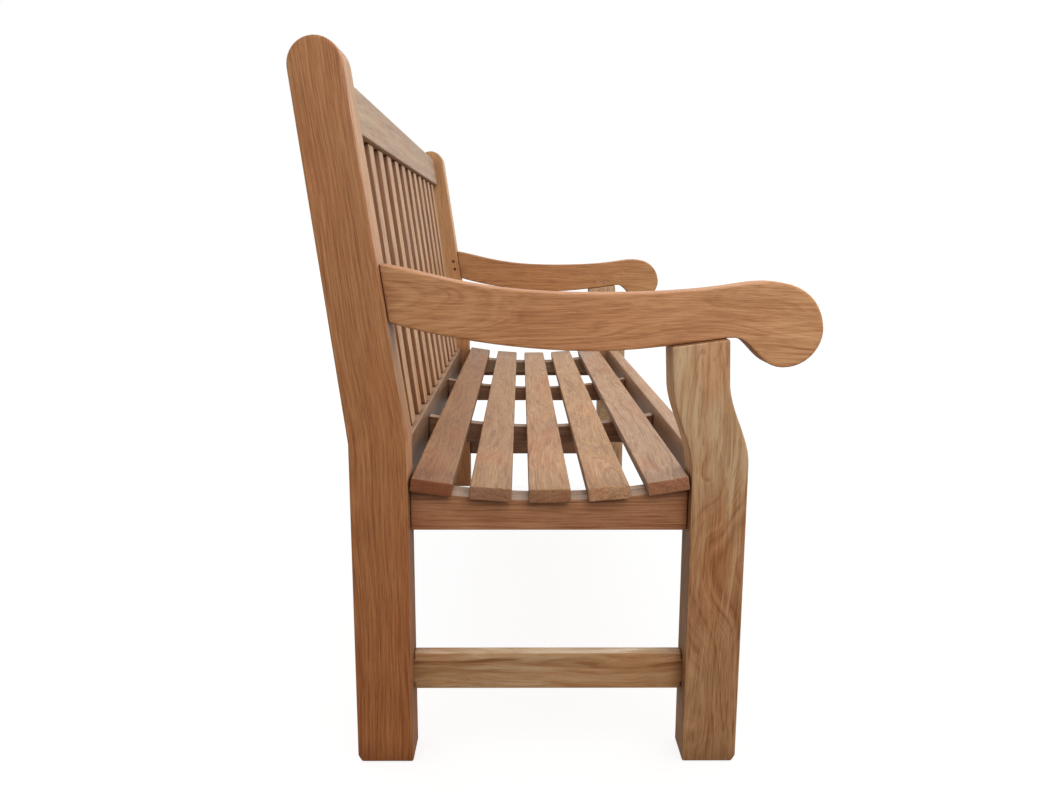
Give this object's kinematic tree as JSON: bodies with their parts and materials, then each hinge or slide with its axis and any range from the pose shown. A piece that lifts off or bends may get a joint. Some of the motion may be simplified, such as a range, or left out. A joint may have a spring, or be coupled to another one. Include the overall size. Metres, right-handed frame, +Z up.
{
  "type": "garden bench",
  "caption": "Slatted teak garden bench with a leaning slat back, a hollowed slat seat and scrolled arms.",
  "frame": {"origin": "on the ground under the middle of the bench's overall box", "axes": "+X along the bench towards the sitter's left, +Y towards the back, +Z up; a sitter faces -Y"},
  "size_m": [1.5, 0.6895, 0.979],
  "materials": {
    "teak": "new teak, finely sanded and lightly oiled",
    "dowel": "end grain, unfinished",
    "screw": "plain stainless"
  },
  "bodies": {
    "root": {"rear_post_right": "teak", "front_leg_right": "teak", "arm_right": "teak", "side_seat_rail_right": "teak", "side_stretcher_right": "teak", "seat_cleat_right": "teak", "seat_bearer_right": "teak", "rear_post_left": "teak", "front_leg_left": "teak", "arm_left": "teak", "side_seat_rail_left": "teak", "side_stretcher_left": "teak", "seat_cleat_left": "teak", "seat_bearer_left": "teak", "front_seat_rail": "teak", "lower_back_rail": "teak", "top_back_rail": "teak", "back_slat_01": "teak", "back_slat_02": "teak", "back_slat_03": "teak", "back_slat_04": "teak", "back_slat_05": "teak", "back_slat_06": "teak", "back_slat_07": "teak", "back_slat_08": "teak", "back_slat_09": "teak", "back_slat_10": "teak", "back_slat_11": "teak", "back_slat_12": "teak", "back_slat_13": "teak", "seat_slat_1": "teak", "seat_slat_2": "teak", "seat_slat_3": "teak", "seat_slat_4": "teak", "seat_slat_5": "teak", "post_peg_right_1": "dowel", "post_peg_right_2": "dowel", "arm_peg_right_1": "dowel", "arm_peg_right_2": "dowel", "post_peg_left_1": "dowel", "post_peg_left_2": "dowel", "arm_peg_left_1": "dowel", "arm_peg_left_2": "dowel", "cleat_screw_right_1": "screw", "cleat_screw_right_2": "screw", "cleat_screw_left_1": "screw", "cleat_screw_left_2": "screw"}
  },
  "joints": []
}
